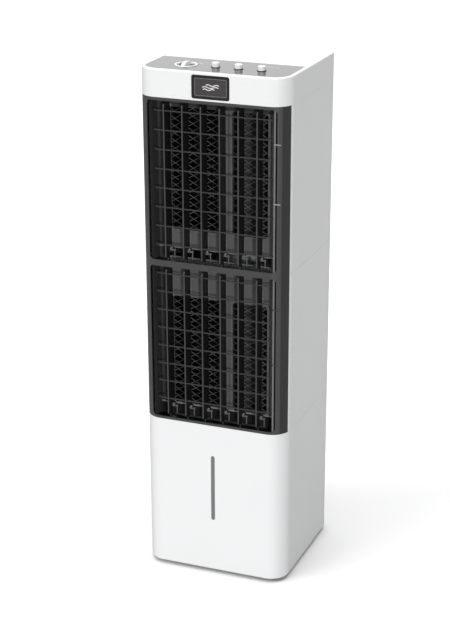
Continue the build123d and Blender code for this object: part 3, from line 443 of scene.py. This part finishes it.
def make_materials():
    white = (0.86, 0.865, 0.87)
    black = (0.055, 0.055, 0.056)
    return {
        "white_shell": moulded_plastic("white_shell_abs", white, 0.34, drift=0.008, IOR=1.5),
        "white_cap": moulded_plastic("white_cap_abs", (0.84, 0.845, 0.85), 0.28, drift=0.008),
        "black_grille": moulded_plastic("black_grille_pp", black, 0.42, grain_depth=0.00006),
        # Grille frame: black on its front faces, every other face painted darker as shade.
        "frame_painted_shade": layered_plastic("grille_frame_sides_painted_shade", grey(0.03), 0.42,
                                       [(facing("Y", -1), black)]),
        # Guard fins: front faces painted grey as if lit, side faces painted near black as shade.
        "fin_painted_light": layered_plastic("guard_fins_painted_light_pp", grey(0.012), 0.42, [(facing("Y", -1), grey(0.062))],
                                     Specular_IOR_Level=0.3),
        # Outlet duct: painted light and painted shade on black plastic.
        "duct_painted_light": make_duct_shade_and_light(),
        # Vanes: painted light and painted shade on black plastic.
        "upper_vane": make_vane_shade_and_light("upper"),
        "lower_vane": make_vane_shade_and_light("lower"),
        "rod_grey": moulded_plastic("link_rod_pp", grey(0.035), 0.5),
        "bar_black": moulded_plastic("guard_bar_pp", grey(0.040), 0.42, Specular_IOR_Level=0.4),
        "lattice_grey": moulded_plastic("lattice_pp", grey(0.115), 0.5),
        "black_inner": moulded_plastic("black_inner_pp", (0.03, 0.03, 0.031), 0.5),
        # Near black for the parts deep in the duct: painted shade.
        "deep_painted_shade": moulded_plastic("deep_painted_shade_pp", (0.008, 0.008, 0.009), 0.6),
        "panel_gloss": moulded_plastic("panel_gloss_black", (0.012, 0.012, 0.013), 0.05, grain=30.0,
                                       grain_depth=0.00001, IOR=1.5),
        "badge_dark": moulded_plastic("badge_black", (0.012, 0.012, 0.012), 0.35),
        "badge_plate": brushed("badge_brushed", (0.066, 0.062, 0.063), 0.4, (1, 1, 30), Metallic=0.3),
        "collar_grey": moulded_plastic("collar_dark_grey", (0.05, 0.05, 0.052), 0.4),
        "tank_plastic": moulded_plastic("tank_polypropylene", (0.75, 0.77, 0.78), 0.4,
                                        Transmission_Weight=0.25),
        "lens_smoke": moulded_plastic("lens_smoked", (0.19, 0.185, 0.19), 0.18, drift=0.02,
                                      Coat_Weight=0.5),
        "float_red": moulded_plastic("float_red_foam", (0.6, 0.05, 0.03), 0.6),
        "rubber": moulded_plastic("rubber_black", (0.03, 0.03, 0.03), 0.75),
        "motor_steel": brushed("motor_galvanised", (0.42, 0.43, 0.44), 0.45, (1, 1, 12), Metallic=0.8),
        "bright_steel": brushed("bright_zinc", (0.6, 0.6, 0.61), 0.3, (1, 1, 20), Metallic=1.0),
        "filter_mesh": moulded_plastic("filter_nylon", (0.06, 0.06, 0.065), 0.7),
        "inlay_grey": moulded_plastic("badge_inlay_grey", (0.2, 0.2, 0.2), 0.35),
        "print_white": moulded_plastic("print_white_ink", (0.8, 0.8, 0.8), 0.5, grain=3000.0),
        "print_grey": moulded_plastic("print_grey_ink", (0.45, 0.45, 0.45), 0.5, grain=3000.0),
        # Pale grey for the upper stile tongues: painted highlight.
        "clip_painted_highlight": moulded_plastic("clip_painted_highlight_pp", (0.27, 0.27, 0.27), 0.35),
        "pad_frame_grey": moulded_plastic("pad_frame_pp", (0.12, 0.125, 0.13), 0.5),
        "pad_cellulose": moulded_plastic("pad_cellulose_paper", (0.38, 0.25, 0.12), 0.9, grain=500.0,
                                         grain_depth=0.0003, drift=0.15),
    }


VANES_PER_SECTION = 6
# Parts deep in the duct, painted darker than their slot as shade.
DEEP_NODES = ("upper_scroll", "lower_scroll", "upper_wheel", "lower_wheel")


def dress_nodes(materials):
    """Gives every CAD node the material of its slot, or a closer one where it has its own."""
    slot_of = {row["node"]: row["material_slot"] for row in frame["record"]["subparts"]}
    own = {name: "deep_painted_shade" for name in DEEP_NODES}
    own["outlet_duct"] = "duct_painted_light"
    own["guard_fins"] = "fin_painted_light"
    own["guard_bars"] = "bar_black"
    own["grille_frame"] = "frame_painted_shade"
    own["vane_coupler"] = "rod_grey"
    for level in ("upper", "lower"):
        own[level + "_link_rod"] = "rod_grey"
        own[level + "_lattice"] = "lattice_grey"
        for number in range(1, VANES_PER_SECTION + 1):
            own[f"{level}_vane_{number}"] = level + "_vane"
    own["badge_plate"] = "badge_plate"
    for name, node in nodes.items():
        material = materials[own.get(name, slot_of[name])]
        node.data.materials.clear()
        node.data.materials.append(material)


def make_floor():
    """A wide pale floor with a faint mottle. It lights the object less than it shows."""
    half = FLOOR_HALF
    corners = [(-half, -half, 0), (half, -half, 0), (half, half, 0), (-half, half, 0)]
    floor = mesh_object("floor", corners, [(0, 1, 2, 3)])
    material = shader("floor_pale", (0.93, 0.93, 0.93), 0.9, Specular_IOR_Level=0.0)
    tree = material.node_tree
    vary_color(material, object_noise(tree, 2.0), (0.93, 0.93, 0.93), (0.945, 0.945, 0.945))
    path = tree.nodes.new("ShaderNodeLightPath")
    dim = tree.nodes.new("ShaderNodeBsdfDiffuse")
    dim.inputs["Color"].default_value = (FLOOR_BOUNCE, FLOOR_BOUNCE, FLOOR_BOUNCE, 1)
    mix = tree.nodes.new("ShaderNodeMixShader")
    tree.links.new(path.outputs["Is Camera Ray"], mix.inputs["Fac"])
    tree.links.new(dim.outputs[0], mix.inputs[1])
    tree.links.new(tree.nodes["Principled BSDF"].outputs[0], mix.inputs[2])
    tree.links.new(mix.outputs[0], tree.nodes["Material Output"].inputs["Surface"])
    floor.data.materials.append(material)


# ---------------------------------------------------------------- badge and printed marks
INLAY_INSET = 1.6 * MM
WAVE_ROWS = ((25, 3.5), (31, 0), (22, -3.5))
WAVE_STEPS = 32
WAVE_SWELL = 1.15 * MM
WAVE_PITCH = 3.9 * MM


def add_badge(materials):
    """A fine light inlay round the plate, and a plain three-wave airflow emblem."""
    low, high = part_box("badge_plate")
    centre = ((low[0] + high[0]) / 2, (low[2] + high[2]) / 2)
    size = (high[0] - low[0] - INLAY_INSET, high[2] - low[2] - INLAY_INSET)
    face = low[1]

    def on_plate(u, v, lift):
        return Vector((u, face - lift, v))

    loop = rounded_loop(centre, size, INLAY_INSET)
    inlay = strokes("badge_inlay", [loop], 0.9 * MM, 0.12 * MM, on_plate)
    finish_piece(inlay, materials["inlay_grey"], "casing")
    waves = []
    for row, (length, shift) in enumerate(WAVE_ROWS):
        height = centre[1] + (1 - row) * WAVE_PITCH
        wave = []
        for step in range(WAVE_STEPS + 1):
            along = step / WAVE_STEPS
            swell = math.sin(along * 2 * math.pi * 1.5) * WAVE_SWELL
            wave.append((centre[0] + (shift + (along - 0.5) * length) * MM, height + swell))
        waves.append(wave)
    emblem = strokes("badge_airflow_emblem", waves, 1.5 * MM, 0.15 * MM, on_plate)
    finish_piece(emblem, materials["print_white"], "casing")


def dashes(start, count, step, length, slant=0.0):
    """A row of short level strokes that stands for a printed word."""
    rows = []
    for index in range(count):
        u = start[0] + index * step
        rows.append([(u, start[1] + slant * index), (u + length, start[1] + slant * index)])
    return rows


PRINT_LIFT = 0.06 * MM
TURN_MARK_RADIUS = 29.5 * MM
LABEL_OFFSET = (-7 * MM, -27 * MM)
TIMER_ROW_OFFSET = -29 * MM
TIMER_ROW_PITCH = 3.2 * MM


def add_panel_print(materials):
    """A turn mark by the knob and plain dashes for the print by the buttons."""
    knob_low, knob_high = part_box("speed_knob")
    panel_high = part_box("control_panel")[1]
    knob = ((knob_low[0] + knob_high[0]) / 2, (knob_low[1] + knob_high[1]) / 2)
    face = panel_high[2]

    def on_panel(u, v, lift):
        return Vector((u, v, face + lift))

    def around_knob(radius, degrees):
        angle = math.radians(degrees)
        return (knob[0] + radius * math.cos(angle), knob[1] + radius * math.sin(angle))

    arc = [around_knob(TURN_MARK_RADIUS, degrees) for degrees in range(28, 60, 4)]
    wedge = strokes("knob_turn_mark", [arc], 1.6 * MM, PRINT_LIFT, on_panel)
    finish_piece(wedge, materials["print_white"], "casing")

    words = []
    button_x = []
    for name in ("cool_button", "swing_button", "timer_button"):
        low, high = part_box(name)
        middle = (low[0] + high[0]) / 2
        button_x.append(middle)
        words += dashes((middle + LABEL_OFFSET[0], low[1] + LABEL_OFFSET[1]), 3, 4.2 * MM, 3.0 * MM)
    labels = strokes("button_labels", words, 0.8 * MM, PRINT_LIFT, on_panel)
    finish_piece(labels, materials["print_grey"], "casing")
    back_row = panel_high[1] + TIMER_ROW_OFFSET
    row = dashes((button_x[2] - 3 * MM, back_row), 6, 4.6 * MM, 3.4 * MM)
    row += dashes((button_x[2] - 1 * MM, back_row + TIMER_ROW_PITCH), 3, 6.5 * MM, 4.6 * MM)
    timer = strokes("timer_print", row, 1.1 * MM, PRINT_LIFT, on_panel)
    finish_piece(timer, materials["print_white"], "casing")


# ---------------------------------------------------------------- clips on the right stile
# Heights above the floor and the section's points are in millimetres here.
# The same tongues are painted pale as a highlight at the upper heights and dark as shade at the lower ones.
PAINTED_HIGHLIGHT_TONGUES = (880, 771)
PAINTED_SHADE_TONGUES = (570, 461)
TONGUE_INSET = 10.0 * MM
TONGUE_LENGTH = 13.0 * MM
TONGUE_SECTION = ((-0.1, -1.2), (-0.5, -0.9), (-0.5, 0.9), (-0.1, 1.2))
TONGUE_DEPTH = 0.55


def add_stile_clips(name, heights, material):
    """Small latch tongues that hold the grille frame, seen on its right stile."""
    low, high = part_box("grille_frame")
    outer = high[0] - TONGUE_INSET
    inner = outer - TONGUE_LENGTH
    vertices = []
    faces = []
    for height in heights:
        start = len(vertices)
        for x in (inner, outer):
            for y, z in TONGUE_SECTION:
                vertices.append((x, low[1] + (y + TONGUE_DEPTH) * MM, (height + z) * MM))
        faces += prism_faces(start)
    clips = mesh_object(name, vertices, faces)
    clean_normals(clips)
    finish_piece(clips, material, "casing")


# ---------------------------------------------------------------- cooling pad and dust filter
FLUTE_LENGTH = 15.0 * MM
FLUTE_HEIGHT = 7.0 * MM
FLUTE_SLANT = math.radians(32)
STEPS_PER_FLUTE = 8
PAD_COLUMNS = 6
PAPER = 0.35 * MM
SHEET_GAP = 0.25 * MM


def add_cooling_pad(materials):
    """Corrugated paper sheets with their flutes slanted alternately up and down."""
    low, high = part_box("cooling_pad")
    count = round((high[0] - low[0]) / FLUTE_HEIGHT)
    pitch = (high[0] - low[0]) / count
    swing = pitch / 2 - SHEET_GAP
    rows = round((high[2] - low[2]) / (FLUTE_LENGTH / STEPS_PER_FLUTE))
    columns = PAD_COLUMNS
    vertices = []
    faces = []
    for sheet_index in range(count):
        middle = low[0] + (sheet_index + 0.5) * pitch
        slant = FLUTE_SLANT if sheet_index % 2 else -FLUTE_SLANT
        start = len(vertices)
        for row in range(rows + 1):
            z = low[2] + (high[2] - low[2]) * row / rows
            for column in range(columns + 1):
                y = low[1] + (high[1] - low[1]) * column / columns
                along = z * math.cos(slant) + y * math.sin(slant)
                x = middle + swing * math.sin(2 * math.pi * along / FLUTE_LENGTH)
                vertices.append((x, y, z))
        for row in range(rows):
            for column in range(columns):
                corner = start + row * (columns + 1) + column
                faces.append((corner, corner + 1, corner + columns + 2, corner + columns + 1))
    pad = mesh_object("honeycomb_pad", vertices, faces, 60)
    paper = pad.modifiers.new("paper", "SOLIDIFY")
    paper.thickness = PAPER
    paper.offset = 0
    finish_piece(pad, materials["pad_cellulose"], "intake_door")
    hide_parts("cooling_pad")


def box_faces(vertices, faces, low, high):
    """Adds one straight bar between two corners."""
    start = len(vertices)
    for z in (low[2], high[2]):
        vertices += [(low[0], low[1], z), (high[0], low[1], z), (high[0], high[1], z), (low[0], high[1], z)]
    faces += prism_faces(start)


FILTER_RIM = 4.0 * MM
FILTER_COLUMNS = 4
FILTER_ROWS = 12
ROW_INSET = 0.1 * MM
MESH_PITCH = 2.6 * MM
THREAD = 0.45 * MM
NET_INSET = 1 * MM


def add_dust_filter(materials):
    """A moulded frame with cross bars over a fine net of square threads."""
    low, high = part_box("dust_filter")
    vertices = []
    faces = []
    for index in range(FILTER_COLUMNS + 1):
        x = low[0] + (high[0] - low[0] - FILTER_RIM) * index / FILTER_COLUMNS
        box_faces(vertices, faces, (x, low[1], low[2]), (x + FILTER_RIM, high[1], high[2]))
    for index in range(FILTER_ROWS + 1):
        z = low[2] + (high[2] - low[2] - FILTER_RIM) * index / FILTER_ROWS
        box_faces(vertices, faces, (low[0], low[1] + ROW_INSET, z),
                  (high[0], high[1] - ROW_INSET, z + FILTER_RIM))
    rim_piece = mesh_object("filter_frame", vertices, faces)
    edge = rim_piece.modifiers.new("edge", "BEVEL")
    edge.width = 0.4 * MM
    edge.segments = 2
    finish_piece(rim_piece, materials["pad_frame_grey"], "intake_door")

    middle = (low[1] + high[1]) / 2
    vertices = []
    faces = []
    for index in range(1, int((high[0] - low[0]) / MESH_PITCH)):
        x = low[0] + index * MESH_PITCH
        box_faces(vertices, faces, (x, middle - THREAD, low[2] + NET_INSET),
                  (x + THREAD, middle, high[2] - NET_INSET))
    for index in range(1, int((high[2] - low[2]) / MESH_PITCH)):
        z = low[2] + index * MESH_PITCH
        box_faces(vertices, faces, (low[0] + NET_INSET, middle, z),
                  (high[0] - NET_INSET, middle + THREAD, z + THREAD))
    net = mesh_object("filter_net", vertices, faces)
    finish_piece(net, materials["filter_mesh"], "intake_door")
    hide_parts("dust_filter")


# ---------------------------------------------------------------- the scene
bpy.context.scene.view_settings.view_transform = "Standard"
make_camera()
make_studio()
make_floor()
materials = make_materials()
dress_nodes(materials)
add_badge(materials)
add_panel_print(materials)
# Upper tongues painted pale as a highlight, lower tongues painted dark as shade with the rod grey.
add_stile_clips("upper_stile_clips", PAINTED_HIGHLIGHT_TONGUES, materials["clip_painted_highlight"])
add_stile_clips("lower_stile_clips", PAINTED_SHADE_TONGUES, materials["rod_grey"])
add_cooling_pad(materials)
add_dust_filter(materials)
